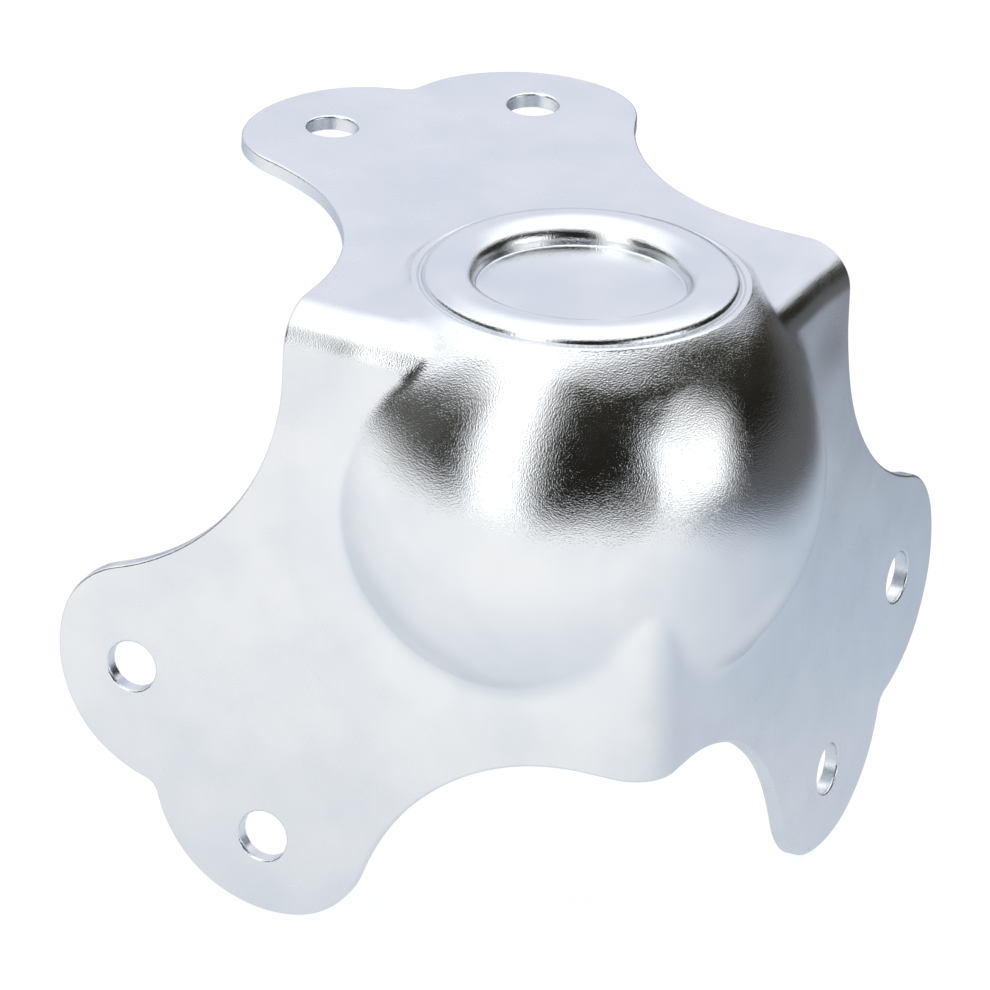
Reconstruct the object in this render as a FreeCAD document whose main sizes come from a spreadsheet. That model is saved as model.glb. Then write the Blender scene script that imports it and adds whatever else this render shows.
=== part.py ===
"""Flight case corner: a ball corner drawn from one piece of zinc-plated sheet steel.

Frame: millimetres. The origin is the corner point of the case that the part covers, so the case
fills x < 0, y > 0, z < 0, and the three wings lie with their backs on the planes x = 0, y = 0
and z = 0. +Z is up.

How it is built: the press tool's punch and die are two solids of the same form, the outer skin
and the inner skin, one sheet thickness apart. Each is a folded block whose corner is replaced by
a ball with a stacking bead. Their difference is the drawn sheet, and the blanking cutter then
gives the three lobed wings and their rivet holes.
"""
import FreeCAD, Part
import math
import os
import Sketcher
from FreeCAD import Placement, Rotation, Vector

os.makedirs("parts", exist_ok=True)
doc = FreeCAD.newDocument("FlightCaseCorner")

# Driving dimensions

SIZES = [
    ("sheet_thick", 1.5, "thickness of the sheet"),
    ("bend_radius", 4.4, "outer radius of the three folds"),
    ("ball_radius", 24.2, "outer radius of the ball"),
    ("fold_cover", 0.57, "how far the ball stands out of a fold"),
    ("blend_radius", 2.5, "hollow fillet where the ball leaves a wing"),
    ("rim_height", 3.0, "top of the lip round the stacking bead, above the case"),
    ("lip_radius", 0.45, "rounding of that lip"),
    ("lip_stand", 0.65, "how far the lip's section centre stands out of the ball"),
    ("moat_depth", 0.4, "depth of the moat inside the lip"),
    ("bead_rise", 1.2, "top of the stacking bead above the lip"),
    ("bead_radius", 2.3, "section radius of the stacking bead"),
    ("moat_reach", 3.8, "from the centre of the lip's section in to that of the bead's"),
    ("floor_height", 1.4, "round floor inside the bead, above the case"),
    ("neck_reach", 39.2, "end of each fold, from the corner of the case"),
    ("throat_radius", 24.7, "hollow curve from the end of a fold to a lobe"),
    ("lobe_radius", 13.0, "outer curve of a lobe"),
    ("lobe_far", 48.6, "centre of that curve along one fold"),
    ("lobe_near", 38.1, "centre of that curve along the other fold"),
    ("lobe_corner_radius", 8.35, "tighter curve at the tip of a lobe"),
    ("lobe_corner_angle", 12.5, "angle below the fold's direction where that curve ends, degrees"),
    ("notch_radius", 1.64, "hollow rounding of the notch between two lobes"),
    ("hole_dia", 5.0, "diameter of a rivet hole"),
    ("hole_far", 53.8, "rivet hole along one fold"),
    ("hole_near", 39.3, "rivet hole along the other fold"),
    ("edge_break", 0.3, "edge that blanking and punching turn over on the outside"),
]
FOLLOWING = [
    ("ball_centre", "=(ball_radius - fold_cover - bend_radius) / sqrt(2) + bend_radius - sheet_thick",
     "ball centre to each face of the case"),
    ("lip_ring_radius", "=sqrt((ball_radius + lip_stand)^2 - (ball_centre + rim_height - lip_radius)^2)",
     "radius of the ring that the lip's section follows"),
    ("bead_ring_radius", "=lip_ring_radius - moat_reach",
     "radius of the ring that the bead's section follows"),
]
TOUCH = 1e-6

sheet = doc.addObject("Spreadsheet::Sheet", "Sizes")
for row, (name, value, meaning) in enumerate(SIZES + FOLLOWING, start=1):
    sheet.set("A%d" % row, name)
    sheet.set("B%d" % row, str(value))
    sheet.setAlias("B%d" % row, name)
    sheet.set("C%d" % row, meaning)
doc.recompute()


def size(name):
    """The number in a named cell."""
    return float(sheet.get(name))


def bind(thing, links):
    """Tie properties of an object to expressions of the sheet's cells."""
    for prop, text in links.items():
        thing.setExpression(prop, text)


def plane(body, role):
    """One of a body's own origin planes or axes."""
    return next(f for f in body.Origin.OriginFeatures if f.Role == role)


def edges_where(shape, test):
    """Names of the edges that pass a test."""
    return ["Edge%d" % (i + 1) for i, edge in enumerate(shape.Edges) if test(edge)]


# Sketch helpers: a profile is a chain of lines and arcs

class Chain:
    """Lines and arcs drawn one after another in a sketch, end to end."""

    def __init__(self, sketch):
        self.sketch = sketch
        self.first = None
        self.last = None
        self.here = None

    def join(self, index, begin, end, target, smooth):
        """Ties a new piece to the last one, and moves on to its far end."""
        if self.last is None:
            self.first = (index, begin)
        else:
            kind = "Tangent" if smooth else "Coincident"
            self.sketch.addConstraint(Sketcher.Constraint(kind, self.last[0], self.last[1], index, begin))
        self.last = (index, end)
        self.here = target

    def move(self, x, y):
        self.here = Vector(x, y, 0)
        return self

    def line(self, x, y, rule=None, smooth=False):
        target = Vector(x, y, 0)
        index = self.sketch.addGeometry(Part.LineSegment(self.here, target), False)
        self.join(index, 1, 2, target, smooth)
        if rule:
            self.sketch.addConstraint(Sketcher.Constraint(rule, index))
        return self

    def arc(self, centre, radius, turn_from, turn_to, text=None, smooth=False):
        """Arc from one angle to another; text is the expression that its radius is tied to."""
        low, high = min(turn_from, turn_to), max(turn_from, turn_to)
        circle = Part.Circle(Vector(centre[0], centre[1], 0), Vector(0, 0, 1), radius)
        index = self.sketch.addGeometry(Part.ArcOfCircle(circle, low, high), False)
        begin, end = (1, 2) if turn_to > turn_from else (2, 1)
        target = Vector(centre[0] + radius * math.cos(turn_to), centre[1] + radius * math.sin(turn_to), 0)
        self.join(index, begin, end, target, smooth)
        if text:
            rule = self.sketch.addConstraint(Sketcher.Constraint("Radius", index, radius))
            self.sketch.setExpression("Constraints[%d]" % rule, text)
        return self

    def sides(self, centre, radius, turn_from, turn_to, count):
        """A rounding drawn as short straight sides, whose revolved faces are plain cones."""
        for k in range(1, count + 1):
            turn = turn_from + (turn_to - turn_from) * k / count
            self.line(centre[0] + radius * math.cos(turn), centre[1] + radius * math.sin(turn))
        return self

    def close(self):
        """Joins the last end to the first start."""
        self.sketch.addConstraint(
            Sketcher.Constraint("Coincident", self.last[0], self.last[1], self.first[0], self.first[1])
        )
        return self


def angle_of(centre, point):
    return math.atan2(point[1] - centre[1], point[0] - centre[0])


# The ball and its stacking bead, as a profile round the ball's upright axis

INNER_FLANK_SIDES = 4
OUTER_FLANK_SIDES = 2


def levels():
    """Heights of the lip, moat, bead centre and floor above the ball's centre."""
    lift = size("ball_centre")
    rim = lift + size("rim_height")
    bead = rim + size("bead_rise") - size("bead_radius")
    return rim, rim - size("moat_depth"), bead, lift + size("floor_height")


def shoulder_turn():
    """Height angle where the straight shoulder under the lip touches the ball."""
    lip = size("lip_radius")
    end = (size("lip_ring_radius") + lip, levels()[0] - lip)
    return math.atan2(end[1], end[0]) - math.acos(size("ball_radius") / math.hypot(*end))


def draw_ball(chain, radius, text):
    """Shoulder and ball, from the chain's last point to the foot of the axis."""
    turn = shoulder_turn()
    chain.line(radius * math.cos(turn), radius * math.sin(turn))
    chain.arc((0, 0), radius, turn, -math.pi / 2, text, True)
    chain.close()


def draw_outer_profile(sketch):
    """Skin that shows: floor, bead, moat, lip, shoulder and ball."""
    rim, moat, bead, floor = levels()
    ball = size("ball_radius")
    bead_radius = size("bead_radius")
    bead_at = (size("bead_ring_radius"), bead)
    inner_foot = math.pi + math.asin((bead - floor) / bead_radius)
    outer_foot = math.asin((moat - bead) / bead_radius)
    lip = size("lip_radius")
    lip_at = (size("lip_ring_radius"), rim - lip)
    lip_foot = math.pi - math.asin((moat - lip_at[1]) / lip)
    chain = Chain(sketch).move(0, -ball)
    chain.line(0, floor, "Vertical")
    chain.line(bead_at[0] + bead_radius * math.cos(inner_foot), floor, "Horizontal")
    chain.sides(bead_at, bead_radius, inner_foot, math.pi / 2, INNER_FLANK_SIDES)
    chain.sides(bead_at, bead_radius, math.pi / 2, outer_foot, OUTER_FLANK_SIDES)
    chain.line(lip_at[0] + lip * math.cos(lip_foot), moat, "Horizontal")
    chain.line(lip_at[0], rim)
    chain.line(lip_at[0] + lip, lip_at[1])
    draw_ball(chain, ball, "Sizes.ball_radius")


def draw_inner_profile(sketch):
    """Hidden skin, one sheet thickness inside: the coined lip doesn't show there."""
    moat, bead, floor = levels()[1:]
    thick = size("sheet_thick")
    ball = size("ball_radius") - thick
    ring = size("bead_ring_radius")
    spread = size("bead_radius")
    groove = spread - thick
    level = moat - thick
    turn = shoulder_turn()
    chain = Chain(sketch).move(0, -ball)
    chain.line(0, floor - thick, "Vertical")
    chain.line(ring - spread, floor - thick, "Horizontal")
    chain.line(ring - groove, bead)
    chain.line(ring + groove, bead, "Horizontal")
    chain.line(ring + spread, level)
    chain.line((ball - level * math.sin(turn)) / math.cos(turn), level, "Horizontal")
    draw_ball(chain, ball, "Sizes.ball_radius - Sizes.sheet_thick")


# The two skins

def leaves_wing(shape, edge):
    """True for an edge where the ball's round skin meets a flat wing or a fold."""
    kinds = {type(face.Surface).__name__ for face in shape.ancestorsOfType(edge, Part.Face)}
    middle = edge.valueAt((edge.FirstParameter + edge.LastParameter) / 2)
    from_axis = math.hypot(middle.x + size("ball_centre"), middle.y - size("ball_centre"))
    in_seat = middle.z > 0 and from_axis < size("lip_ring_radius") - size("sheet_thick")
    above = middle.z > size("sheet_thick") + TOUCH
    meets = "Sphere" in kinds and kinds & {"Plane", "Cylinder"}
    return bool(meets) and not in_seat and not above


def add_box(body, name, kind, length, start):
    """Cube that is added to a body or cut from it, from the expression of its side and its corner."""
    box = body.newObject(kind, name)
    for side in ("Length", "Width", "Height"):
        box.setExpression(side, length)
    bind(box, {"Placement.Base." + axis: text for axis, text in zip("xyz", start)})
    doc.recompute()
    return box


def make_form(name, inset, draw_profile):
    """Folded block with a ball for its corner; inset is the expression of its depth in the sheet."""
    body = doc.addObject("PartDesign::Body", name)
    proud = "(Sizes.sheet_thick - %s)" % inset
    reach = "(Sizes.lobe_far + 2 * Sizes.lobe_radius)"
    block = add_box(body, name + "_block", "PartDesign::AdditiveBox",
                    reach + " + " + proud, ("-" + reach, "-" + proud, "-" + reach))
    tip = block.Placement.Base + Vector(block.Length.Value, 0, block.Height.Value)
    folds = body.newObject("PartDesign::Fillet", name + "_folds")
    folds.Base = (block, edges_where(
        block.Shape, lambda edge: any(end.Point.distanceToPoint(tip) < TOUCH for end in edge.Vertexes)))
    folds.setExpression("Radius", "Sizes.bend_radius - %s" % inset)
    doc.recompute()

    add_box(body, name + "_corner", "PartDesign::SubtractiveBox",
            "Sizes.ball_centre + Sizes.sheet_thick",
            ("-Sizes.ball_centre", "-Sizes.sheet_thick", "-Sizes.ball_centre"))
    seat = body.newObject("PartDesign::SubtractiveCylinder", name + "_bead_seat")
    bind(seat, {
        "Radius": "Sizes.lip_ring_radius - Sizes.sheet_thick",
        "Height": "Sizes.ball_centre / 2 + Sizes.sheet_thick",
        "Placement.Base.x": "-Sizes.ball_centre",
        "Placement.Base.y": "Sizes.ball_centre",
        "Placement.Base.z": "-Sizes.ball_centre / 2",
    })

    profile = body.newObject("Sketcher::SketchObject", name + "_profile")
    profile.AttachmentSupport = (plane(body, "XZ_Plane"), [""])
    profile.MapMode = "FlatFace"
    bind(profile, {"AttachmentOffset.Base." + axis: "-Sizes.ball_centre" for axis in "xyz"})
    draw_profile(profile)
    doc.recompute()
    ball = body.newObject("PartDesign::Revolution", name + "_ball")
    ball.Profile = profile
    ball.ReferenceAxis = (profile, ["V_Axis"])
    ball.Angle = 360
    doc.recompute()

    return body


outer = make_form("outer_skin", "0", draw_outer_profile)
inner = make_form("inner_skin", "Sizes.sheet_thick", draw_inner_profile)

round_form = outer.Tip
blend = outer.newObject("PartDesign::Fillet", "ball_blend")
blend.Base = (round_form, edges_where(
    round_form.Shape, lambda edge: leaves_wing(round_form.Shape, edge)))
blend.setExpression("Radius", "Sizes.blend_radius")
drawn = doc.addObject("Part::Cut", "drawn_sheet")
drawn.Base = outer
drawn.Tool = inner
doc.recompute()


# The blanking cutter: one lobed outline, the same on all three wings

def flip(point):
    """A point of a wing's outline, mirrored about the wing's diagonal."""
    return (point[1], point[0])


def flipped(angle):
    """A direction, mirrored about the wing's diagonal."""
    return math.pi / 2 - angle


def draw_outline(sketch):
    """Two lobes mirrored about the wing's diagonal, with a rivet hole in each."""
    neck = size("neck_reach")
    lobe = size("lobe_radius")
    lobe_at = (size("lobe_far"), size("lobe_near"))
    tip = size("lobe_corner_radius")
    turn = -math.radians(size("lobe_corner_angle"))
    tip_at = (lobe_at[0] + (lobe - tip) * math.cos(turn), lobe_at[1] + (lobe - tip) * math.sin(turn))
    throat = size("throat_radius")
    across = neck + throat - tip_at[0]
    throat_at = (neck + throat, tip_at[1] - math.sqrt((throat + tip) ** 2 - across ** 2))
    notch = size("notch_radius")
    skew = lobe_at[0] - lobe_at[1]
    middle = (sum(lobe_at) + math.sqrt(2 * (lobe + notch) ** 2 - skew ** 2)) / 2
    notch_at = (middle, middle)

    into_tip = angle_of(throat_at, tip_at) % (2 * math.pi)
    from_throat = into_tip - math.pi
    into_notch = angle_of(lobe_at, notch_at)
    from_lobe = into_notch - math.pi
    chain = Chain(sketch).move(0, 0)
    chain.line(neck, 0, "Horizontal")
    chain.line(neck, throat_at[1], "Vertical")
    chain.arc(throat_at, throat, math.pi, into_tip, "Sizes.throat_radius", True)
    chain.arc(tip_at, tip, from_throat, turn, "Sizes.lobe_corner_radius", True)
    chain.arc(lobe_at, lobe, turn, into_notch, "Sizes.lobe_radius", True)
    chain.arc(notch_at, notch, from_lobe, flipped(into_notch) - math.pi, "Sizes.notch_radius", True)
    chain.arc(flip(lobe_at), lobe, flipped(into_notch), flipped(turn), "Sizes.lobe_radius", True)
    chain.arc(flip(tip_at), tip, flipped(turn), flipped(from_throat), "Sizes.lobe_corner_radius", True)
    chain.arc(flip(throat_at), throat, flipped(into_tip), flipped(math.pi), "Sizes.throat_radius", True)
    chain.line(0, neck, "Horizontal")
    chain.line(0, 0, "Vertical")
    chain.close()
    for far, near in (("hole_far", "hole_near"), ("hole_near", "hole_far")):
        hole = Part.Circle(Vector(size(far), size(near), 0), Vector(0, 0, 1), size("hole_dia") / 2)
        index = sketch.addGeometry(hole, False)
        rules = (
            (Sketcher.Constraint("Radius", index, size("hole_dia") / 2), "Sizes.hole_dia / 2"),
            (Sketcher.Constraint("DistanceX", -1, 1, index, 3, size(far)), "Sizes." + far),
            (Sketcher.Constraint("DistanceY", -1, 1, index, 3, size(near)), "Sizes." + near),
        )
        for rule, text in rules:
            sketch.setExpression("Constraints[%d]" % sketch.addConstraint(rule), text)


# For each wing, the plane of its back and the turn that brings its outline into line
WINGS = (
    ("top_wing", "XY_Plane", 90),
    ("front_wing", "XZ_Plane", 180),
    ("side_wing", "YZ_Plane", -90),
)

cutters = []
for name, role, turn in WINGS:
    body = doc.addObject("PartDesign::Body", name + "_cutter")
    outline = body.newObject("Sketcher::SketchObject", name + "_outline")
    outline.AttachmentSupport = (plane(body, role), [""])
    outline.MapMode = "FlatFace"
    outline.AttachmentOffset = Placement(Vector(0, 0, 0), Rotation(Vector(0, 0, 1), turn))
    draw_outline(outline)
    doc.recompute()
    pad = body.newObject("PartDesign::Pad", name + "_blank")
    pad.Profile = outline
    pad.Midplane = True
    pad.setExpression("Length", "4 * Sizes.sheet_thick")
    cutters.append(body)

neck = doc.addObject("Part::Box", "neck_cutter")
for side in ("Length", "Width", "Height"):
    neck.setExpression(side, "Sizes.neck_reach + Sizes.ball_radius")
bind(neck, {
    "Placement.Base.x": "-Sizes.neck_reach",
    "Placement.Base.y": "-Sizes.ball_radius",
    "Placement.Base.z": "-Sizes.neck_reach",
})

cutter = doc.addObject("Part::MultiFuse", "cutter")
cutter.Shapes = cutters + [neck]
blanked = doc.addObject("Part::Common", "blanked_sheet")
blanked.Base = drawn
blanked.Tool = cutter
blanked.Refine = True
doc.recompute()


# The finished corner, with the edge that the cutter turns over on the outside

SQUARE = 0.1


def normal_at(face, point):
    u, v = face.Surface.parameter(point)
    return face.normalAt(u, v)


def is_cut_edge(shape, edge):
    """True for an edge of the outer skin where a wing was cut or a hole was punched."""
    faces = shape.ancestorsOfType(edge, Part.Face)
    middle = edge.valueAt((edge.FirstParameter + edge.LastParameter) / 2)
    if len(faces) < 2 or abs(normal_at(faces[0], middle).dot(normal_at(faces[1], middle))) > SQUARE:
        return False
    return inner.Shape.distToShape(Part.Vertex(middle))[0] > size("sheet_thick") / 2


ball_corner = doc.addObject("PartDesign::Body", "ball_corner")
ball_corner.Label = "ball_corner"
ball_corner.BaseFeature = blanked
doc.recompute()
turned = ball_corner.newObject("PartDesign::Chamfer", "turned_edges")
turned.Base = (ball_corner.Group[0], edges_where(
    blanked.Shape, lambda edge: is_cut_edge(blanked.Shape, edge)))
turned.setExpression("Size", "Sizes.edge_break")
doc.recompute()


# Checks, and the file of the one piece

for thing in doc.Objects:
    if {"Invalid", "Error"} & set(thing.State):
        raise RuntimeError("%s failed: %s" % (thing.Name, thing.State))
shape = ball_corner.Shape
if shape.isNull() or not shape.isValid() or len(shape.Solids) != 1:
    raise RuntimeError("%s is not one sound solid" % ball_corner.Label)
shape.exportStep("parts/%s.step" % ball_corner.Label)
box = shape.BoundBox
print(ball_corner.Label, "volume %.1f mm3, area %.1f mm2" % (shape.Volume, shape.Area))
print("  box %.2f x %.2f x %.2f mm" % (box.XLength, box.YLength, box.ZLength))
print("  %d faces, %d edges, %d of them turned over" % (len(shape.Faces), len(shape.Edges), len(turned.Base[1])))
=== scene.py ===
# %% [markdown]
# # Flight case corner: the looks of one pressed sheet
# The real object is the corner of a road case: a single sheet of steel, drawn by a press into a ball with
# three wings, then plated with bright zinc. The CAD gives its working sizes. Here the same form is made
# again as a fine mesh, because a mirror-like plating shows every facet of a coarse one.

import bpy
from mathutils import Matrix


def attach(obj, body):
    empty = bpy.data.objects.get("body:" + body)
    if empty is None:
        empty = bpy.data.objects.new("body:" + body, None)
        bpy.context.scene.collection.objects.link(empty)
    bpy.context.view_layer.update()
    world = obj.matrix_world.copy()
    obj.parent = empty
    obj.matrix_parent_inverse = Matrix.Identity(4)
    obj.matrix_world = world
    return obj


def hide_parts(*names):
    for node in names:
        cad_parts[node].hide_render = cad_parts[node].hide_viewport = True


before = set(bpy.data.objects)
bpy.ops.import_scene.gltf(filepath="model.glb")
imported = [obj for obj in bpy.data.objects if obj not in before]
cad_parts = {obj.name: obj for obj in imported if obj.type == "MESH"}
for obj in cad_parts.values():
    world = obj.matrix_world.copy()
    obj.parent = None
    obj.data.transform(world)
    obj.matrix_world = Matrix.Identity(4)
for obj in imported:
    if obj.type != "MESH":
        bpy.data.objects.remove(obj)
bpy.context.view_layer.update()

import math

import bpy
import numpy as np
from mathutils import Matrix, Vector

# %% [markdown]
# ## Sizes
# These are the sizes of the press tool in millimetres, the same as in the CAD. A point is written as its
# depth below the three outer faces: side, front and top. Depth 0 is the outer skin of a wing, and the
# inner skin lies one sheet deeper. That makes the three wings alike, so one rule serves them all.

# %% Sizes of the press tool
SHEET = 1.5
BEND = 4.4
BALL = 24.2
FOLD_COVER = 0.57
BLEND = 2.5
CENTRE = (BALL - FOLD_COVER - BEND) / math.sqrt(2) + BEND
CASE = CENTRE - SHEET
print("ball centre below each outer face:", round(CENTRE, 3))
print("ball centre below the case's own faces:", round(CASE, 3))


def to_frame(depth):
    """Depths below the side, front and top faces in mm, as points of the frame in metres."""
    return np.stack([SHEET - depth[:, 0], depth[:, 1] - SHEET, SHEET - depth[:, 2]], 1) / 1000


# %% [markdown]
# ## The stacking ring, in section
# On top the ball is pressed flat, so that the balls of the next case sit in it. From outside to inside
# come a soft shoulder, a lip, a narrow moat, a wide bead and a floor with the faint mark of the tool. It
# could be cut from circles by hand, but a section of arcs says at once how high and how round each part
# is. It is written as distance from the ball's upright axis and height over the ball's centre.

# %% Heights and arcs of the ring
# RIM, MOAT, CROWN and FLOOR are heights over the ball's centre; LIP, FOOT and BEAD_WIDE are radii or half
# widths; LIP_START is where the lip's arc begins, in degrees beyond the end of the shoulder's arc
RIM = CASE + 3.0
LIP = 0.45
LIP_STAND = 0.65
LIP_START = 8
LIP_AT = np.array([math.sqrt((BALL + LIP_STAND) ** 2 - (RIM - LIP) ** 2), RIM - LIP])
MOAT = RIM - 0.4
CROWN = RIM + 1.2
BEAD_MIDDLE = LIP_AT[0] - 3.30
BEAD_WIDE = 2.55
INSIDE_NARROWER = 0.6
FLOOR = CASE + 1.85
FOOT = 0.2
TOOL_MARK = 0.015
SHOULDER_LOW = math.radians(12)

leaves_ball = np.array([math.cos(SHOULDER_LOW), math.sin(SHOULDER_LOW)])
spare = BALL - LIP
SHOULDER_BACK = (LIP_AT @ LIP_AT - spare ** 2) / (2 * (spare - LIP_AT @ leaves_ball))
SHOULDER_AT = -SHOULDER_BACK * leaves_ball
SHOULDER = BALL + SHOULDER_BACK
print("shoulder arc radius:", round(SHOULDER, 2), "bead ring radius:", round(BEAD_MIDDLE, 2))


def arc(centre, radius, start, end, steps):
    """Points of an arc from one angle to another, in degrees, without its first point."""
    turn = np.radians(np.linspace(start, end, steps + 1))[1:]
    return [(centre[0] + radius * math.cos(t), centre[1] + radius * math.sin(t)) for t in turn]


def oval(centre, wide, tall, start, end, steps):
    """Points of an oval arc, like arc() but with two half widths."""
    return [(centre[0] + (x - centre[0]) * wide, centre[1] + (y - centre[1]) * tall)
            for x, y in arc(centre, 1, start, end, steps)]


def ring_section(skin):
    """Section of the ring from its outside to the axis; skin is the depth in the sheet."""
    crown, moat, floor_height = CROWN - skin, MOAT - skin, FLOOR - skin
    wide = BEAD_WIDE - INSIDE_NARROWER * skin
    foot = (BEAD_MIDDLE + wide + FOOT, moat + FOOT)
    inner_foot = (BEAD_MIDDLE - wide - FOOT, floor_height + FOOT)
    if skin:
        points = [(foot[0], moat)]
    else:
        top = LIP_AT - SHOULDER_AT
        first = math.degrees(math.atan2(top[1], top[0])) + LIP_START
        last = 180 - math.degrees(math.asin((MOAT - LIP_AT[1]) / LIP))
        points = arc(LIP_AT, LIP, first - 1, first, 1) + arc(LIP_AT, LIP, first, last, 10)
    points += arc(foot, FOOT, 270, 180, 5)
    points += oval((BEAD_MIDDLE, foot[1]), wide, crown - foot[1], 0, 90, 16)
    points += oval((BEAD_MIDDLE, inner_foot[1]), wide, crown - inner_foot[1], 90, 180, 18)
    points += arc(inner_foot, FOOT, 0, -90, 5)
    points += [(inner_foot[0] * share, floor_height) for share in (0.9, 0.75, 0.6, 0.45, 0.39)]
    points += [(inner_foot[0] * share, floor_height - TOOL_MARK) for share in (0.36, 0.33, 0.2, 0.1, 0)]
    return points


# %% [markdown]
# ## A lathe in Geometry Nodes
# A ring that is turned from one section follows a rule. The Screw modifier could turn it, but a node
# tree shows each step and takes the number of points as a named input. The tree lays a grid, reads for
# each grid point its place on the section, and turns it round the axis. One tree serves both skins.

# %% Helpers for node trees
def add_node(tree, kind, settings=None, links=None):
    """One node. A link's value is a number, a socket, or a node, whose first socket in use then counts."""
    node = tree.nodes.new(kind)
    for name, value in (settings or {}).items():
        setattr(node, name, value)
    for key, value in (links or {}).items():
        if isinstance(value, bpy.types.Node):
            value = next(socket for socket in value.outputs if socket.enabled)
        if isinstance(value, bpy.types.NodeSocket):
            tree.links.new(value, node.inputs[key])
        else:
            node.inputs[key].default_value = value
    return node


def colour(text):
    """An sRGB hex colour as linear red, green, blue and alpha."""
    parts = [int(text[i:i + 2], 16) / 255 for i in (1, 3, 5)]
    return [p / 12.92 if p <= 0.04045 else ((p + 0.055) / 1.055) ** 2.4 for p in parts] + [1.0]


# %% The lathe tree and its inputs
lathe = bpy.data.node_groups.new("lathe", "GeometryNodeTree")
lathe.interface.new_socket("Section", in_out="INPUT", socket_type="NodeSocketGeometry")
steps_round = lathe.interface.new_socket("Steps Round", in_out="INPUT", socket_type="NodeSocketInt")
section_points = lathe.interface.new_socket("Section Points", in_out="INPUT", socket_type="NodeSocketInt")
finish = lathe.interface.new_socket("Finish", in_out="INPUT", socket_type="NodeSocketMaterial")
lathe.interface.new_socket("Turned", in_out="OUTPUT", socket_type="NodeSocketGeometry")

group_in = add_node(lathe, "NodeGroupInput")
many = group_in.outputs["Section Points"]
around = add_node(lathe, "ShaderNodeMath", {"operation": "ADD"}, {
    0: group_in.outputs["Steps Round"], 1: 1.0})
grid = add_node(lathe, "GeometryNodeMeshGrid", None, {
    "Size X": 1.0, "Size Y": 1.0, "Vertices X": many, "Vertices Y": around})
place = add_node(lathe, "GeometryNodeInputPosition")
parts = add_node(lathe, "ShaderNodeSeparateXYZ", None, {0: place})
print("inputs of the lathe:", [socket.name for socket in group_in.outputs if socket.name])

# %% From the grid's place to a point of the section
along = add_node(lathe, "ShaderNodeMath", {"operation": "ADD"}, {0: parts.outputs["X"], 1: 0.5})
last_point = add_node(lathe, "ShaderNodeMath", {"operation": "SUBTRACT"}, {0: many, 1: 1.0})
counted = add_node(lathe, "ShaderNodeMath", {"operation": "MULTIPLY"}, {0: along, 1: last_point})
index = add_node(lathe, "ShaderNodeMath", {"operation": "ROUND"}, {0: counted})
sampled = add_node(lathe, "GeometryNodeSampleIndex", {"data_type": "FLOAT_VECTOR"}, {
    "Geometry": group_in.outputs["Section"], "Value": place, "Index": index})
on_section = add_node(lathe, "ShaderNodeSeparateXYZ", None, {0: sampled})

# %% Round the axis
share_round = add_node(lathe, "ShaderNodeMath", {"operation": "ADD"}, {0: parts.outputs["Y"], 1: 0.5})
turn = add_node(lathe, "ShaderNodeMath", {"operation": "MULTIPLY"}, {0: share_round, 1: 2 * math.pi})
level = []
for operation in ("COSINE", "SINE"):
    wave_of_turn = add_node(lathe, "ShaderNodeMath", {"operation": operation}, {0: turn})
    level.append(add_node(lathe, "ShaderNodeMath", {"operation": "MULTIPLY"}, {
        0: on_section.outputs["X"], 1: wave_of_turn}))
turned_to = add_node(lathe, "ShaderNodeCombineXYZ", None, {
    "X": level[0], "Y": level[1], "Z": on_section.outputs["Z"]})
moved = add_node(lathe, "GeometryNodeSetPosition", None, {
    "Geometry": grid.outputs["Mesh"], "Position": turned_to})
closed = add_node(lathe, "GeometryNodeMergeByDistance", None, {"Geometry": moved, "Distance": 0.001})
real = add_node(lathe, "GeometryNodeRealizeInstances", None, {"Geometry": closed})
painted = add_node(lathe, "GeometryNodeSetMaterial", None, {
    "Geometry": real, "Material": group_in.outputs["Finish"]})
add_node(lathe, "NodeGroupOutput", None, {0: painted})
print("nodes in the lathe:", len(lathe.nodes))


# %% Turning both skins of the ring
def turned(points, steps):
    """Points and faces of a section turned round the upright axis."""
    mesh = bpy.data.meshes.new("ring_section")
    mesh.from_pydata([(r, 0, h) for r, h in points], [(i, i + 1) for i in range(len(points) - 1)], [])
    holder = bpy.data.objects.new("ring_section", mesh)
    bpy.context.scene.collection.objects.link(holder)
    modifier = holder.modifiers.new("lathe", "NODES")
    modifier.node_group = lathe
    modifier[steps_round.identifier] = steps
    modifier[section_points.identifier] = len(points)
    modifier[finish.identifier] = None
    bpy.context.view_layer.update()
    made = bpy.data.meshes.new_from_object(holder.evaluated_get(bpy.context.evaluated_depsgraph_get()))
    spots = np.array([v.co for v in made.vertices], float)
    faces = [list(p.vertices) for p in made.polygons]
    bpy.data.objects.remove(holder)
    bpy.data.meshes.remove(made)
    return spots, faces


STEPS_OUTSIDE, STEPS_INSIDE = 240, 120
ring_outer, ring_outer_faces = turned(ring_section(0), STEPS_OUTSIDE)
ring_inner, ring_inner_faces = turned(ring_section(SHEET), STEPS_INSIDE)
print("ring faces:", len(ring_outer_faces), "outside,", len(ring_inner_faces), "inside")

# %% [markdown]
# ## The drawn form as a field
# The press draws the sheet over a rounded block whose corner is a ball, with a hollow fillet between the
# two. Bevels on a plain mesh could come near it, but they fail where three of them meet. A field says for
# any point how far it lies outside the form, and the fillet is then the path of a ball that rolls along
# both forms.

# %% Field of the folded block
def block_field(at, skin):
    """Distance from the folded block and its direction."""
    into = np.maximum(BEND - at, 0)
    length = np.linalg.norm(into, axis=1)
    deep = (BEND - at).max(1)
    away = np.where(length[:, None] > 0, -into / np.maximum(length, 1e-9)[:, None], 0)
    return np.where(length > 0, length, deep) - (BEND - skin), away


print("block field 1 mm over the top wing:", block_field(np.array([[30.0, 30.0, -1.0]]), 0)[0].round(3))


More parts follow.
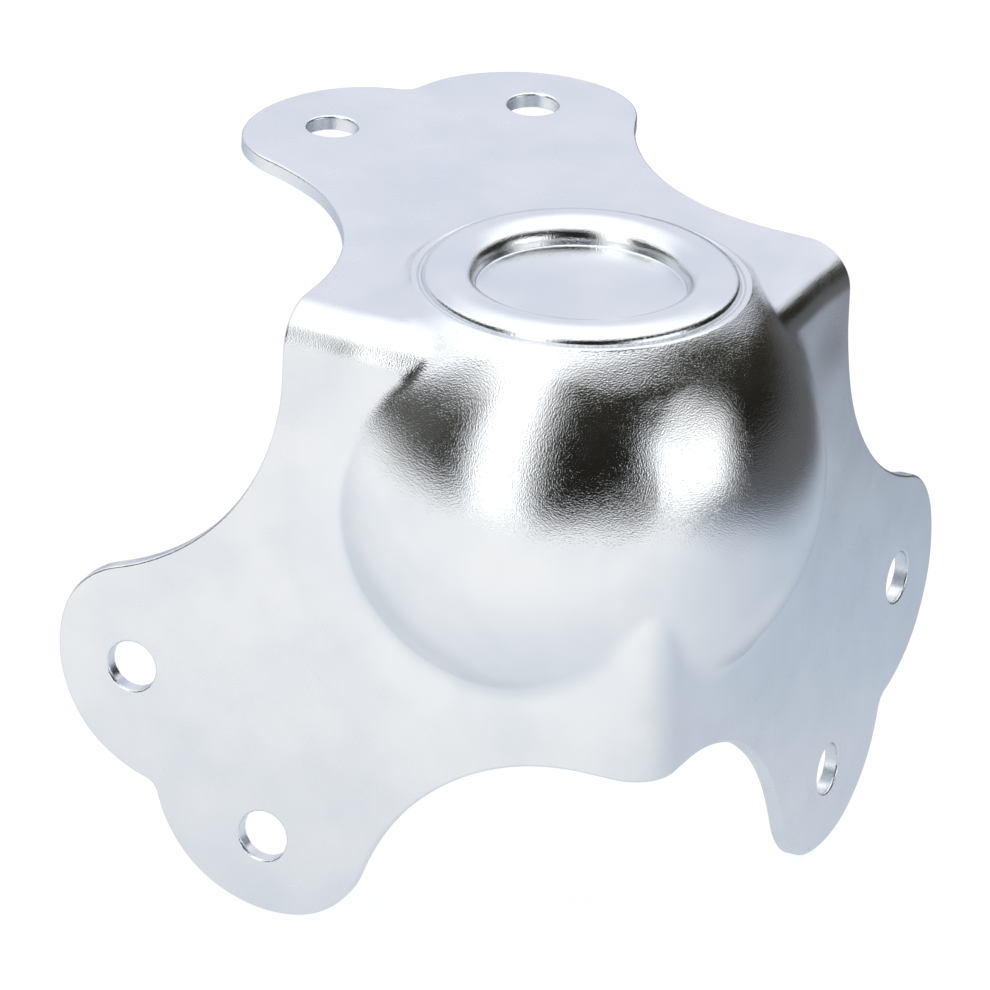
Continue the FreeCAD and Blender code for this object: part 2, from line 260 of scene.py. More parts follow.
# %% Field of the ball
def ball_field(at, skin):
    """Distance from the ball and the soft shoulder over it, and its direction."""
    flat = at[:, :2] - CENTRE
    reach = np.linalg.norm(flat, axis=1)
    section = np.stack([reach, CENTRE - at[:, 2]], 1)
    over = section - SHOULDER_AT
    on_shoulder = np.arctan2(over[:, 1], over[:, 0]) > SHOULDER_LOW
    arm = np.where(on_shoulder[:, None], over, section)
    length = np.linalg.norm(arm, axis=1)
    distance = length - np.where(on_shoulder, SHOULDER, BALL) + skin
    lean = arm / np.maximum(length, 1e-9)[:, None]
    level_way = flat / np.maximum(reach, 1e-9)[:, None] * lean[:, :1]
    return distance, np.concatenate([level_way, -lean[:, 1:]], 1)


print("ball field at the ball's centre:", ball_field(np.full((1, 3), CENTRE), 0)[0].round(3))


# %% Both fields with the hollow fillet
def form_field(at, skin):
    """Distance outside the drawn form: the block, the ball and the hollow fillet between them."""
    block, block_away = block_field(at, skin)
    ball, ball_away = ball_field(at, skin)
    radius = BLEND + skin
    alike = (block_away * ball_away).sum(1)
    open_angle = np.maximum(1 - alike ** 2, 1e-9)
    to_block, to_ball = radius - block, radius - ball
    hollow = (to_block > to_ball * alike) & (to_ball > to_block * alike)
    gap = np.sqrt(np.maximum(to_block ** 2 + to_ball ** 2 - 2 * to_block * to_ball * alike, 0) / open_angle)
    both = np.where(hollow, radius - gap, np.minimum(block, ball))
    both = np.where((at < CENTRE).all(1), ball, both)
    if skin:
        under = (MOAT - skin) - (CENTRE - at[:, 2])
        in_ring = np.linalg.norm(at[:, :2] - CENTRE, axis=1) < LIP_AT[0] + 1
        both = np.where(in_ring, np.maximum(both, -under), both)
    return both


print("form field on the top wing:", form_field(np.array([[45.0, 45.0, 0.0]]), 0).round(3))

# %% Pressing points onto the form
FARTHEST, HALVINGS = 1.7, 44


def pressed(flat, skin):
    """Points of the flat-faced block moved onto the drawn form, by halving the way from its middle."""
    start = np.maximum(flat, CENTRE)
    way = flat - start
    low, high = np.zeros(len(flat)), np.full(len(flat), FARTHEST)
    for _ in range(HALVINGS):
        middle = (low + high) / 2
        outside = form_field(start + way * middle[:, None], skin) > 0
        low, high = np.where(outside, low, middle), np.where(outside, middle, high)
    return start + way * ((low + high) / 2)[:, None]


crest = pressed(np.array([[CENTRE - BALL * 0.7, CENTRE - BALL * 0.7, CENTRE]]), 0)[0]
print("ball radius that the field gives:", round(float(np.linalg.norm(crest - CENTRE)), 3))

# %% [markdown]
# ## The blank's outline
# A wing is blanked to two lobes with a notch between them and a punched hole in each. The outline is a
# chain of touching arcs. It could be drawn as a curve and cut with a boolean, but that leaves ragged
# faces in a mirror. Its distance is simple: each arc answers for the points that it faces, and the nearest
# answer counts. The two halves of a wing are mirror images, so only one is written.

# %% Distance from the outline of a wing
NECK = 39.2
THROAT = 24.7
LOBE, LOBE_AT = 13.0, np.array([48.6, 38.1])
TIP, TIP_TURN = 8.35, -math.radians(12.5)
NOTCH, NOTCH_LOW = 1.64, -0.76 * math.pi
HOLE, HOLE_AT = 2.5, np.array([53.8, 39.3])

TIP_AT = LOBE_AT + (LOBE - TIP) * np.array([math.cos(TIP_TURN), math.sin(TIP_TURN)])
throat_drop = math.sqrt((THROAT + TIP) ** 2 - (NECK + THROAT - TIP_AT[0]) ** 2)
THROAT_AT = np.array([NECK + THROAT, TIP_AT[1] - throat_drop])
notch_middle = (LOBE_AT.sum() + math.sqrt(2 * (LOBE + NOTCH) ** 2 - (LOBE_AT[0] - LOBE_AT[1]) ** 2)) / 2
NOTCH_AT = np.array([notch_middle, notch_middle])
print("throat, tip and notch centres:", THROAT_AT.round(2), TIP_AT.round(2), NOTCH_AT.round(2))


def angle_to(start, end):
    return math.atan2(end[1] - start[1], end[0] - start[0])


INTO_TIP = angle_to(THROAT_AT, TIP_AT)
INTO_NOTCH = angle_to(LOBE_AT, NOTCH_AT)
OUTLINE_ARCS = [
    (THROAT_AT, THROAT, -1, INTO_TIP, math.pi),
    (TIP_AT, TIP, 1, INTO_TIP - math.pi, TIP_TURN),
    (LOBE_AT, LOBE, 1, TIP_TURN, INTO_NOTCH),
    (NOTCH_AT, NOTCH, -1, NOTCH_LOW, INTO_NOTCH - math.pi),
]


def outline_gap(depth):
    """How far points of the wings lie outside the blank; less than 0 is metal.

    The least depth tells which wing it is. The other two are measured from the case, the farther one first.
    """
    far_near = np.sort(depth, axis=1)[:, :0:-1] - SHEET
    best = np.where(far_near[:, 1] <= THROAT_AT[1], far_near[:, 0] - NECK, 1e3)
    for centre, radius, side, low, high in OUTLINE_ARCS:
        arm = far_near - centre
        angle = np.arctan2(arm[:, 1], arm[:, 0])
        gap = side * (np.linalg.norm(arm, axis=1) - radius)
        faced = (angle >= low) & (angle <= high)
        best = np.where(faced & (np.abs(gap) < np.abs(best)), gap, best)
    hole = HOLE - np.linalg.norm(far_near - HOLE_AT, axis=1)
    return np.maximum(best, hole)


def outline_way(depth):
    """Direction in which the outline gap grows."""
    step = 1e-4
    shifts = np.eye(3) * step
    return np.stack([(outline_gap(depth + s) - outline_gap(depth - s)) / (2 * step) for s in shifts], 1)


# %% [markdown]
# ## A lattice on three faces
# The mesh starts as a lattice on the three faces of a plain corner. Lines are close on the folds and
# wider on the flat. The lattice is clipped along the outline and round the ring, as scissors would, and
# only then pressed onto the form. The real sheet is trimmed after the press, but a flat cut is easier to
# keep smooth.

# %% Lattice points and faces
FOLD_END, BALL_END, WING_END = 6, 42, 64.4
LINES = np.concatenate([
    np.linspace(0, FOLD_END, 16, endpoint=False),
    np.linspace(FOLD_END, BALL_END, 72, endpoint=False),
    np.linspace(BALL_END, WING_END, 29)])
count = len(LINES)
corner_points = {}
lattice, quads = [], []
for face in range(3):
    axes = [a for a in range(3) if a != face]
    ids = np.empty((count, count), int)
    for i in range(count):
        for j in range(count):
            key = [0, 0, 0]
            key[axes[0]], key[axes[1]] = i, j
            key = tuple(key)
            if key not in corner_points:
                corner_points[key] = len(lattice)
                lattice.append([LINES[k] for k in key])
            ids[i, j] = corner_points[key]
    square = np.stack([ids[:-1, :-1], ids[1:, :-1], ids[1:, 1:], ids[:-1, 1:]], -1).reshape(-1, 4)
    quads.append(square if face == 1 else square[:, ::-1])
lattice, quads = np.array(lattice), np.concatenate(quads)
print("lattice:", len(lattice), "points,", len(quads), "faces")

# %% Clipping a lattice along a level line
ON_LINE = 1e-6
CUT_HALVINGS = 30


def clip(points, faces, value):
    """Keeps what lies where value is below 0: points, whole faces and cut faces."""
    level = value(points)
    level[np.abs(level) < ON_LINE] = 0
    inside = level <= 0
    kept = inside[faces].sum(1)
    whole, mixed = faces[kept == 4], faces[(kept > 0) & (kept < 4)]
    after = np.roll(mixed, -1, axis=1)
    cut = (inside[mixed] != inside[after]) & (level[mixed] != 0) & (level[after] != 0)
    ends = np.unique(np.sort(np.stack([mixed[cut], after[cut]], 1), axis=1), axis=0)
    near = np.where(inside[ends[:, 0]], ends[:, 0], ends[:, 1])
    far = ends.sum(1) - near
    low, high = np.zeros(len(ends)), np.ones(len(ends))
    for _ in range(CUT_HALVINGS):
        middle = (low + high) / 2
        beyond = value(points[near] + (points[far] - points[near]) * middle[:, None]) > 0
        low, high = np.where(beyond, low, middle), np.where(beyond, middle, high)
    fresh = points[near] + (points[far] - points[near]) * low[:, None]
    number = {tuple(pair): len(points) + k for k, pair in enumerate(ends.tolist())}
    pieces = []
    for row in mixed.tolist():
        ring = []
        for a, b in zip(row, row[1:] + row[:1]):
            if inside[a]:
                ring.append(a)
            pair = (min(a, b), max(a, b))
            if inside[a] != inside[b] and pair in number:
                ring.append(number[pair])
        if len(ring) > 2:
            pieces.append(ring)
    return np.concatenate([points, fresh]), whole, pieces


# %% Clip the outline and the seat of the ring
EDGE = 0.3
BURR = 0.1
RING_CUT = 16.3
SNAP = 0.15


def metal(depth):
    return outline_gap(depth) + EDGE


def ring_seat(depth):
    """How far points of the top face lie inside the ring's seat, once they are pressed."""
    on_top = (depth[:, 2] == 0) & (np.linalg.norm(depth[:, :2] - CENTRE, axis=1) < CENTRE + 1)
    gap = np.full(len(depth), -1.0)
    spot = pressed(depth[on_top], 0)
    gap[on_top] = RING_CUT - np.linalg.norm(spot[:, :2] - CENTRE, axis=1)
    return gap


near_edge = np.abs(metal(lattice)) < SNAP
for _ in range(3):
    lattice[near_edge] -= metal(lattice[near_edge])[:, None] * outline_way(lattice[near_edge])
lattice, quads, cut_round_ring = clip(lattice, quads, ring_seat)
lattice, quads, cut_at_outline = clip(lattice, quads, metal)
skin_faces = quads.tolist() + cut_round_ring + cut_at_outline
used = np.unique(np.concatenate([np.array(f) for f in skin_faces]))
renumber = np.full(len(lattice), -1)
renumber[used] = np.arange(len(used))
lattice = lattice[used]
skin_faces = [[int(renumber[i]) for i in f] for f in skin_faces]
print("clipped skin:", len(lattice), "points,", len(skin_faces), "faces")

# %% [markdown]
# ## From one lattice to a sheet with two skins
# Both skins share the lattice, so a point of the inner skin always faces its twin outside. Along the cut
# edge the twins are joined by a wall. Punching rolls the outer edge over by 0.3 mm and leaves the inner one
# nearly sharp, and that thin bright line is what the eye reads as sheet metal. A Solidify modifier could
# give the thickness, but not an inner skin with its own folds nor two different edges.

# %% Borders of the clipped skin
def borders(faces):
    """Directed edges that only one face has."""
    sides = {(a, b) for f in faces for a, b in zip(f, f[1:] + f[:1])}
    return [(a, b) for a, b in sides if (b, a) not in sides]


border = borders(skin_faces)
close_to_outline = outline_gap(lattice) > -2 * EDGE
at_outline = sorted((a, b) for a, b in border if close_to_outline[a] and close_to_outline[b])
at_ring = sorted(set(border) - set(at_outline))
rim_ids = sorted({i for e in at_outline for i in e})
rim_row = {i: k for k, i in enumerate(rim_ids)}
print("border:", len(at_outline), "edges at the outline and holes,", len(at_ring), "round the ring")

# %% Places of both skins
outer = pressed(lattice, 0)
outward = np.zeros_like(outer)
outward[rim_ids] = outline_way(lattice[rim_ids])
for_inner = lattice + outward * (EDGE - BURR)
for_inner = np.where(for_inner < BEND, SHEET + for_inner * (BEND - SHEET) / BEND, for_inner)
inner = pressed(for_inner, SHEET)


def away_from_form(at, skin):
    """Unit direction out of the drawn form."""
    step = 1e-4
    slope = np.stack([form_field(at + s, skin) - form_field(at - s, skin) for s in np.eye(3) * step], 1)
    return slope / np.maximum(np.linalg.norm(slope, axis=1), 1e-12)[:, None]


away = away_from_form(outer, 0)

# %% [markdown]
# ## What the press leaves in the sheet
# A drawn and folded wing is never quite flat. It has long shallow waves, and small dents near the folds
# where the sheet was pulled. They are only hundredths of a millimetre to a seventh of one deep, but the
# plating reflects them. Noise could do it, but waves and dents from a short list can each be placed.

# %% Waves and dents
# each wave has its turns per mm along the three depths, its phase and its height in mm
WAVES = [
    ((0.031, 0.067, 0.05), 0.4, 0.030),
    ((-0.09, 0.043, 0.07), 1.9, 0.016),
    ((0.12, 0.1, -0.11), 4.1, 0.008),
]
# each dent has its place, its radius and its depth in mm; less than 0 is a bump
DENTS = [
    ((35, 6, 0), 3.0, 0.13), ((29, 3, 0), 2.0, -0.06), ((6, 34, 0), 3.0, 0.08), ((46, 28, 0), 6.0, -0.07),
    ((37, 0, 7), 3.2, 0.10), ((33, 0, 3), 2.0, -0.06), ((5, 0, 34), 3.2, 0.10), ((24, 0, 36), 5.0, 0.06),
    ((0, 35, 7), 3.2, 0.14), ((0, 38, 12), 2.6, -0.08), ((0, 4, 36), 3.0, 0.09), ((0, 30, 33), 5.0, -0.07),
]


def wave(depth):
    """Height of the sheet's waves and dents in mm at points of the lattice."""
    height = np.zeros(len(depth))
    for way, phase, depth_mm in WAVES:
        height += depth_mm * np.sin(depth @ np.array(way) * 2 * math.pi + phase)
    for middle, radius, depth_mm in DENTS:
        height -= depth_mm * np.exp(-((depth - middle) ** 2).sum(1) / radius ** 2)
    return height


height = wave(lattice)
lift = height[:, None] * away
outer, inner = outer + lift, inner + lift
print("waves and dents in mm:", round(float(height.min()), 3), "to", round(float(height.max()), 3))

# %% Rolled edge and wall along the border
ROLL_STEPS = 4
rows, row_normals = [], []
base, up, out = outer[rim_ids], away[rim_ids], outward[rim_ids]
for k in range(1, ROLL_STEPS + 1):
    turn_by = math.pi / 2 * k / ROLL_STEPS
    rows.append(base + out * EDGE * math.sin(turn_by) - up * EDGE * (1 - math.cos(turn_by)))
    row_normals.append(up * math.cos(turn_by) + out * math.sin(turn_by))
rows.append(base + out * EDGE - up * (SHEET - BURR))
row_normals.append(out)
print("rows of the edge:", len(rows), "with", len(rim_ids), "points each")

# %% [markdown]
# ## Sewing the pieces into one mesh
# The ring's own circle and the edge of its seat have different numbers of points. The Bridge tool
# could join them, but it needs a person to look. A zip of triangles walks round both at once and always
# steps on the side that lags behind, so it closes by itself.

# %% All points in one list
groups = []


def add_points(spots):
    """Adds points and returns the number of the first one."""
    first = sum(len(group) for group in groups)
    groups.append(spots)
    return first


def ring_depth(spots):
    """Points of the turned ring as depths below the outer faces."""
    return np.stack([CENTRE - spots[:, 0], CENTRE + spots[:, 1], CENTRE - spots[:, 2]], 1)


outer_first = add_points(outer)
ring_first = add_points(ring_depth(ring_outer))
row_first = [add_points(row) for row in rows]
inner_first = add_points(inner)
inner_ring_first = add_points(ring_depth(ring_inner))
points = np.concatenate(groups)
print("points:", len(points))


# %% Zipping two rings of points
def facing(face, towards):
    """The face, turned round if it doesn't look the given way in depths."""
    a, b, c = points[face[0]], points[face[1]], points[face[2]]
    return face if np.cross(b - a, c - b) @ towards > 0 else face[::-1]


def zipped(ring_a, ring_b, towards):
    """Triangles between two closed rings of points round the ball's axis."""
    def turns(ring):
        flat = points[ring][:, :2] - CENTRE
        angle = np.arctan2(flat[:, 1], flat[:, 0])
        order = np.argsort(angle)
        return [ring[k] for k in order], list(angle[order])
    (a, turn_a), (b, turn_b) = turns(ring_a), turns(ring_b)
    turn_a.append(turn_a[0] + 2 * math.pi)
    turn_b.append(turn_b[0] + 2 * math.pi)
    i = j = 0
    made = []
    while i < len(a) or j < len(b):
        here_a, here_b = a[i % len(a)], b[j % len(b)]
        if j == len(b) or (i < len(a) and turn_a[i + 1] <= turn_b[j + 1]):
            made.append(facing([here_a, a[(i + 1) % len(a)], here_b], towards))
            i += 1
        else:
            made.append(facing([here_a, b[(j + 1) % len(b)], here_b], towards))
            j += 1
    return made


TOWARDS_TOP = np.array([0, 0, -1.0])


def edge_circle(spots, first):
    """The outermost circle of a turned ring, as point numbers."""
    reach = np.linalg.norm(spots[:, :2], axis=1)
    return (np.where(reach > reach.max() - 1e-4)[0] + first).tolist()


seat_ids = sorted({i for e in at_ring for i in e})
print("points round the seat:", len(seat_ids), "round the ring:", len(edge_circle(ring_outer, ring_first)))

# %% One closed mesh
outer_faces = [[i + outer_first for i in f] for f in skin_faces]
outer_faces += [facing([i + ring_first for i in f], TOWARDS_TOP) for f in ring_outer_faces]
outer_seat = [i + outer_first for i in seat_ids]
outer_faces += zipped(outer_seat, edge_circle(ring_outer, ring_first), TOWARDS_TOP)
inner_faces = [[i + inner_first for i in f[::-1]] for f in skin_faces]
inner_faces += [facing([i + inner_ring_first for i in f], -TOWARDS_TOP) for f in ring_inner_faces]
inner_seat = [i + inner_first for i in seat_ids]
inner_faces += zipped(inner_seat, edge_circle(ring_inner, inner_ring_first), -TOWARDS_TOP)
wall_faces = []
for a, b in at_outline:
    ladder_a = [a + outer_first] + [first + rim_row[a] for first in row_first] + [a + inner_first]
    ladder_b = [b + outer_first] + [first + rim_row[b] for first in row_first] + [b + inner_first]
    for k in range(len(ladder_a) - 1):
        wall_faces.append([ladder_b[k], ladder_a[k], ladder_a[k + 1], ladder_b[k + 1]])
print("faces:", len(outer_faces), "outside,", len(inner_faces), "inside,", len(wall_faces), "at the edges")
print("open edges left:", len(borders(outer_faces + inner_faces + wall_faces)))

# %% [markdown]
# ## Smooth normals
# A mirror shows each facet unless the normals are smooth. Plain smooth shading would also average over
# the cut edge and bend the reflections there. So each skin gets normals averaged over its own faces,
# weighed by area, and the rolled edge gets its exact ones: a flat wing stays flat to its edge.

# %% Normals
places = to_frame(points)


def skin_normals(skin):
    """Normals of the points of a skin, averaged over its faces by area."""
    total = np.zeros_like(places)
    for size in (3, 4, 5, 6):
        group = np.array([f for f in skin if len(f) == size])
        if not len(group):
            continue
        fan = np.zeros((len(group), 3))
        for k in range(1, size - 1):
            first, second, third = places[group[:, 0]], places[group[:, k]], places[group[:, k + 1]]
            fan += np.cross(second - first, third - first)
        for k in range(size):
            np.add.at(total, group[:, k], fan)
    return total


normals = skin_normals(outer_faces) + skin_normals(inner_faces)
FROM_DEPTHS = np.array([-1, 1, -1])
for first, row in zip(row_first, row_normals):
    normals[first:first + len(row)] = row * FROM_DEPTHS
normals /= np.maximum(np.linalg.norm(normals, axis=1), 1e-12)[:, None]
print("points with a normal:", len(normals))

# %% [markdown]
# ## Bright zinc plating
# The sheet is steel with bright zinc on it and a thin clear blue passivation. Zinc is a metal, so it is
# fully metallic with a pale bluish grey. The bath levels the steel only in part: what stays is a fine
# orange peel, which breaks the reflections into sparks. Its grains are drawn about 0.14 mm wide, a little
# coarser than real ones, because finer ones don't show. The flat wings are duller than the drawn ball,
# because drawing polishes the sheet on the tool. A picture of zinc could be laid on, but noise in real
# millimetres has no seams and holds in every view.

# %% Where the sheet is drawn, and three sizes of noise
zinc = bpy.data.materials.new("bright_zinc_plating")
zinc.use_nodes = True
tree = zinc.node_tree
tree.nodes.clear()
coords = add_node(tree, "ShaderNodeTexCoord").outputs["Object"]
BALL_CENTRE_AT = [-CASE / 1000, CASE / 1000, -CASE / 1000]
POLISHED_WITHIN, DULL_BEYOND = 0.0252, 0.0285
from_centre = add_node(tree, "ShaderNodeVectorMath", {"operation": "DISTANCE"}, {
    0: coords, 1: BALL_CENTRE_AT})
on_ball = add_node(tree, "ShaderNodeMapRange", None, {
    "Value": from_centre, "From Min": POLISHED_WITHIN, "From Max": DULL_BEYOND,
    "To Min": 1.0, "To Max": 0.0})
PATCH_MM, CLOUD_MM, GRAIN_MM = 9.0, 2.5, 0.14
patches, clouds, grain = [
    add_node(tree, "ShaderNodeTexNoise", None, {"Vector": coords, "Scale": 1000 / size, "Detail": detail})
    for size, detail in ((PATCH_MM, 2.0), (CLOUD_MM, 2.0), (GRAIN_MM, 1.0))]
print("noise sizes in mm:", PATCH_MM, CLOUD_MM, GRAIN_MM)

# %% Colour, roughness and peel of the zinc
patch_share = add_node(tree, "ShaderNodeMapRange", None, {
    "Value": patches, "From Min": 0.35, "From Max": 0.65})
tint = add_node(tree, "ShaderNodeMix", {"data_type": "RGBA"}, {
    "Factor": patch_share, "A": colour("#eef0f2"), "B": colour("#e6eaee")})
WING_ROUGHNESS, BALL_ROUGHNESS = (0.23, 0.29), (0.12, 0.16)
rough_wing, rough_ball = [
    add_node(tree, "ShaderNodeMapRange", None, {
        "Value": clouds, "From Min": 0.3, "From Max": 0.7, "To Min": least, "To Max": most})
    for least, most in (WING_ROUGHNESS, BALL_ROUGHNESS)]
roughness = add_node(tree, "ShaderNodeMix", {"data_type": "FLOAT"}, {
    "Factor": on_ball, "A": rough_wing, "B": rough_ball})
PEEL_HEIGHT = 0.000023
peel_strength = add_node(tree, "ShaderNodeMapRange", None, {"Value": on_ball, "To Min": 0.7, "To Max": 1.0})
peel = add_node(tree, "ShaderNodeBump", None, {
    "Strength": peel_strength, "Distance": PEEL_HEIGHT, "Height": grain})
shader = add_node(tree, "ShaderNodeBsdfPrincipled", None, {
    "Base Color": tint, "Metallic": 1.0, "Roughness": roughness, "Normal": peel})
add_node(tree, "ShaderNodeOutputMaterial", None, {"Surface": shader})
print("nodes in", zinc.name + ":", len(tree.nodes))

# %% [markdown]
# ## The finished sheet
# The mesh becomes one object, because the real corner is one sheet. It could be smoothed by a modifier,
# but the points already lie where the press leaves them, so only the normals are handed over. The calls
# at the end tie it to the frame: it rides with the root body, and the CAD's solid is hidden.

# %% The sheet as one object
mesh = bpy.data.meshes.new("pressed_sheet")
mesh.from_pydata(places.tolist(), [], outer_faces + inner_faces + wall_faces)
mesh.materials.append(zinc)
mesh.shade_smooth()
mesh.normals_split_custom_set_from_vertices(normals.tolist())
sheet = bpy.data.objects.new("pressed_sheet", mesh)
bpy.context.scene.collection.objects.link(sheet)
mesh.validate()
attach(sheet, "root")
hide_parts("ball_corner")
print("triangles:", sum(len(p.vertices) - 2 for p in mesh.polygons))

# %% [markdown]
# ## Camera
# The photograph was taken from the front right, looking down, through a long lens. The camera's place was
# solved from the six hole rims and the wings' outlines. A camera can be turned by hand until it looks
# right, but angles and a distance can be read and checked, and the three directions make its matrix.

# %% Camera at the photograph's angle
# the distance and the two shifts of the picture's middle are in mm, the focal length is in pixels
AZIMUTH, ELEVATION, ROLL = (math.radians(angle) for angle in (24.50, 24.89, 2.41))
DISTANCE, ACROSS, UPWARD, FOCAL_PX, PICTURE_PX = 2500.0, 16.66, 8.84, 26543.2, 990


def horizontal(degrees):
    """Level direction at an angle from the front of the picture, to the right."""
    angle = AZIMUTH + math.radians(degrees)
    return Vector((math.sin(angle), -math.cos(angle), 0))


back = horizontal(0) * math.cos(ELEVATION) + Vector((0, 0, math.sin(ELEVATION)))
level_right = horizontal(90)
level_up = back.cross(level_right)
right = math.cos(ROLL) * level_right + math.sin(ROLL) * level_up
upward = -math.sin(ROLL) * level_right + math.cos(ROLL) * level_up
lens = bpy.data.cameras.new("camera")
lens.sensor_width = 36
lens.lens = FOCAL_PX / PICTURE_PX * lens.sensor_width
lens.clip_start, lens.clip_end = 0.1, 50
camera = bpy.data.objects.new("camera", lens)
bpy.context.scene.collection.objects.link(camera)
bpy.context.scene.camera = camera
eye = back * DISTANCE - right * ACROSS - upward * UPWARD + Vector((SHEET, -SHEET, SHEET))
camera.matrix_world = Matrix.Translation(eye / 1000) @ Matrix((right, upward, back)).transposed().to_4x4()
print("lens in mm:", round(lens.lens))

# %% [markdown]
# ## Floor
# The photograph has a white floor that fades into a white backdrop. To the camera it is plain white. In
# the metal it shows as it was lit: bright in front, bluish grey behind, and dark where the table ends on
# the right. Lamps could be tuned to do this, but a floor that glows by place is simpler and has no noise.

# %% Floor
HALF_FLOOR = 3.0  # metres
lowest = float(places[:, 2].min())
floor_mesh = bpy.data.meshes.new("floor")
corners = [(x * HALF_FLOOR, y * HALF_FLOOR, lowest) for x, y in ((-1, -1), (1, -1), (1, 1), (-1, 1))]
floor_mesh.from_pydata(corners, [], [(0, 1, 2, 3)])
floor = bpy.data.objects.new("floor", floor_mesh)
bpy.context.scene.collection.objects.link(floor)
print("floor height in mm:", round(lowest * 1000, 2))

# %% White floor paint
paint = bpy.data.materials.new("white_floor_paint")
paint.use_nodes = True
tree = paint.node_tree
tree.nodes.clear()
spot = add_node(tree, "ShaderNodeTexCoord").outputs["Object"]
GREY_WAY, GREY_FROM, GREY_TO = horizontal(150), -0.06, 0.09
DARK_WAY, DARK_FROM, DARK_TO = horizontal(125), 0.10, 0.20
towards_grey = add_node(tree, "ShaderNodeVectorMath", {"operation": "DOT_PRODUCT"}, {0: spot, 1: GREY_WAY})
towards_dark = add_node(tree, "ShaderNodeVectorMath", {"operation": "DOT_PRODUCT"}, {0: spot, 1: DARK_WAY})
grey_share = add_node(tree, "ShaderNodeMapRange", None, {
    "Value": towards_grey, "From Min": GREY_FROM, "From Max": GREY_TO})
dark_share = add_node(tree, "ShaderNodeMapRange", None, {
    "Value": towards_dark, "From Min": DARK_FROM, "From Max": DARK_TO})
ray = add_node(tree, "ShaderNodeLightPath")
FLOOR_WHITE, BACKDROP_WHITE, FLOOR_GLOW = (1.04, 1.04, 1.04, 1), (1.05, 1.05, 1.05, 1), 0.9
lit = FLOOR_WHITE
for share, shade in ((grey_share, colour("#bcc8d7")), (dark_share, colour("#303030")),
                     (ray.outputs["Is Camera Ray"], BACKDROP_WHITE)):
    lit = add_node(tree, "ShaderNodeMix", {"data_type": "RGBA"}, {"Factor": share, "A": lit, "B": shade})
glow = add_node(tree, "ShaderNodeEmission", None, {"Color": lit})
matt = add_node(tree, "ShaderNodeBsdfDiffuse", None, {"Color": colour("#f4f4f6")})
seen = add_node(tree, "ShaderNodeMath", {"operation": "MAXIMUM"}, {
    0: ray.outputs["Is Camera Ray"], 1: ray.outputs["Is Glossy Ray"]})
glow_share = add_node(tree, "ShaderNodeMath", {"operation": "MULTIPLY"}, {0: seen, 1: FLOOR_GLOW})
floor_mix = add_node(tree, "ShaderNodeMixShader", None, {0: glow_share, 1: matt, 2: glow})
add_node(tree, "ShaderNodeOutputMaterial", None, {"Surface": floor_mix})
floor_mesh.materials.append(paint)
print("nodes in", paint.name + ":", len(tree.nodes))

# %% [markdown]
# ## The studio
# A bright metal shows its surroundings, so the studio matters as much as the material. The ball shows a
# white ceiling that comes down in a curve, a dark brownish room in front with two tall windows, and a
# pale bluish backdrop behind. It could be built from walls and lamps, but here the world's colour is
# worked out from the direction of the look. It stays put when the camera moves, as a room does.

# %% World and its two helpers
world = bpy.data.worlds.new("studio")
bpy.context.scene.world = world
world.use_nodes = True
tree = world.node_tree
tree.nodes.clear()
look = add_node(tree, "ShaderNodeTexCoord").outputs["Generated"]


def along_way(way, start, end, low=0.0, high=1.0):
    """How far the look goes along a direction, as a share that runs from low to high between two limits."""
    far = add_node(tree, "ShaderNodeVectorMath", {"operation": "DOT_PRODUCT"}, {0: look, 1: way})
    return add_node(tree, "ShaderNodeMapRange", None, {
        "Value": far, "From Min": start, "From Max": end, "To Min": low, "To Max": high})


def window(azimuth, elevation, wide, tall, soft):
    """1 inside a soft tall patch of light, at an azimuth from the front and an elevation, in degrees."""
    rise = math.radians(elevation)
    middle = horizontal(azimuth) * math.cos(rise) + Vector((0, 0, math.sin(rise)))
    side = horizontal(azimuth + 90)
    inside = along_way(middle, 0.2, 0.3)
    for axis, size in ((side, wide), (middle.cross(side), tall)):
        edge = math.sin(math.radians(size / 2))
        for way in (axis, -axis):
            share = along_way(way, edge - soft, edge + soft, 1.0, 0.0)
            inside = add_node(tree, "ShaderNodeMath", {"operation": "MULTIPLY"}, {0: inside, 1: share})
    return inside


print("looks forward along:", [round(part, 3) for part in horizontal(0)])

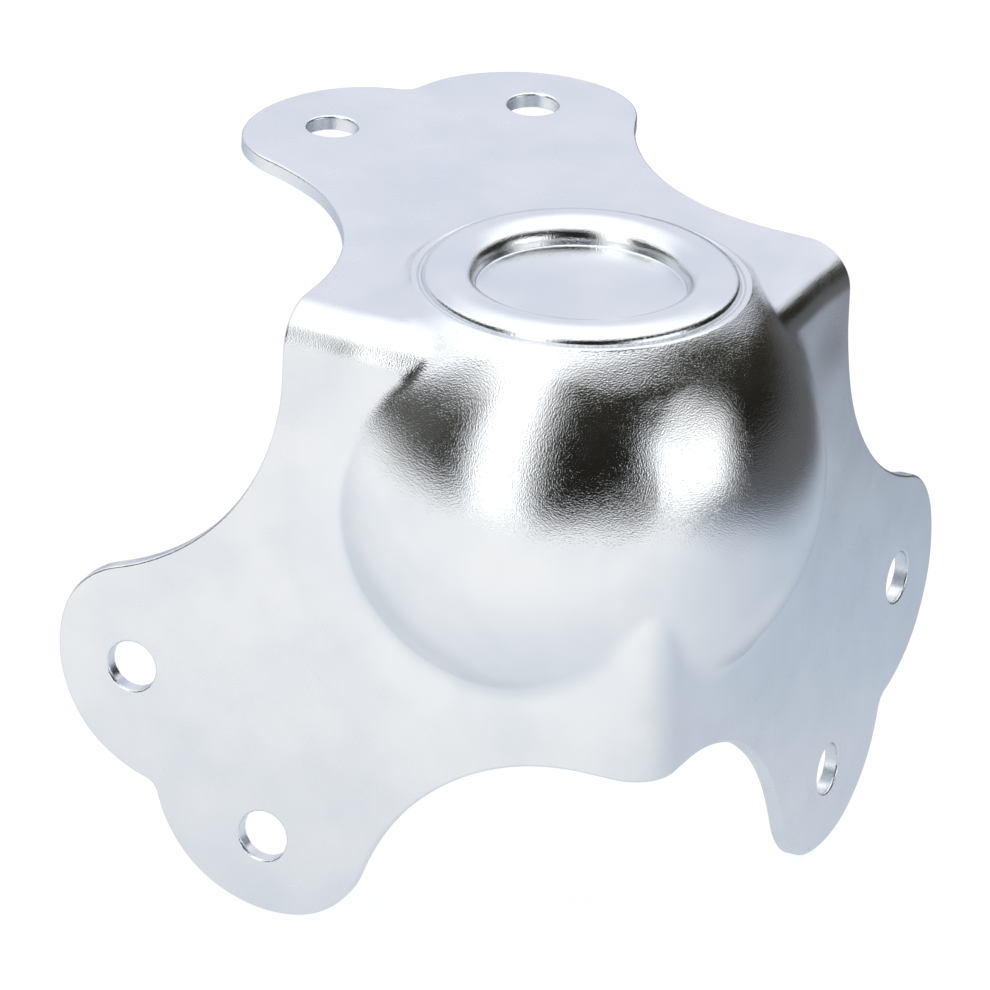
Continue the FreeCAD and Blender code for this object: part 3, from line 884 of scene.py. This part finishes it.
# %% The ceiling's curved edge
CEILING_LEAN = 0.574
CEILING_TILT = 0.19
CEILING_WAY = Vector((0, 0, 1)) - CEILING_LEAN * horizontal(0) - CEILING_TILT * horizontal(90)
CEILING_BEND = 0.16
tilted = add_node(tree, "ShaderNodeVectorMath", {"operation": "DOT_PRODUCT"}, {0: look, 1: CEILING_WAY})
across = add_node(tree, "ShaderNodeVectorMath", {"operation": "DOT_PRODUCT"}, {0: look, 1: horizontal(90)})
squared = add_node(tree, "ShaderNodeMath", {"operation": "MULTIPLY"}, {0: across, 1: across})
bent = add_node(tree, "ShaderNodeMath", {"operation": "MULTIPLY"}, {0: squared, 1: CEILING_BEND})
over = add_node(tree, "ShaderNodeMath", {"operation": "SUBTRACT"}, {0: tilted, 1: bent})
NEAR_CEILING, CEILING_EDGE = (0.05, 0.36), (0.41, 0.47)
near_ceiling, ceiling = [
    add_node(tree, "ShaderNodeMapRange", None, {"Value": over, "From Min": start, "From Max": end})
    for start, end in (NEAR_CEILING, CEILING_EDGE)]
BACKDROP_WAY, BACKDROP_SIDES, BACKDROP_TOP = horizontal(8), (-0.55, -0.25), (0.60, 0.85)
behind = along_way(BACKDROP_WAY, *BACKDROP_SIDES, 1.0, 0.0)
low = along_way(Vector((0, 0, 1)), *BACKDROP_TOP, 1.0, 0.0)
low_behind = add_node(tree, "ShaderNodeMath", {"operation": "MULTIPLY"}, {0: behind, 1: low})
backdrop = add_node(tree, "ShaderNodeMath", {"operation": "MULTIPLY"}, {0: low_behind, 1: ceiling})
print("ceiling leans to the back by", round(math.degrees(math.atan(CEILING_LEAN))), "degrees")

# %% Shades of the room, from the first to the last coat
# lights are brighter than white, which no hex colour can say, so they are plain numbers
LAMP_WHITE, WINDOW_WHITE = (1.3, 1.3, 1.32, 1), (1.6, 1.6, 1.6, 1)
room = colour("#1e1d18")
for share, shade in ((near_ceiling, colour("#353127")),
                     (window(-90, 10, 40, 50, 0.15), colour("#595955")),
                     (ceiling, LAMP_WHITE),
                     (backdrop, colour("#e8eaf5")),
                     (window(-35, 20, 28, 68, 0.07), WINDOW_WHITE),
                     (window(58, 2, 38, 46, 0.08), WINDOW_WHITE)):
    room = add_node(tree, "ShaderNodeMix", {"data_type": "RGBA"}, {"Factor": share, "A": room, "B": shade})
studio = add_node(tree, "ShaderNodeBackground", None, {"Color": room})
plain = add_node(tree, "ShaderNodeBackground", None, {"Color": colour("#ffffff")})
ray = add_node(tree, "ShaderNodeLightPath")
which = add_node(tree, "ShaderNodeMixShader", None, {0: ray.outputs["Is Camera Ray"], 1: studio, 2: plain})
add_node(tree, "ShaderNodeOutputWorld", None, {"Surface": which})
bpy.context.scene.view_settings.view_transform = "Standard"
print("nodes in the world:", len(tree.nodes))
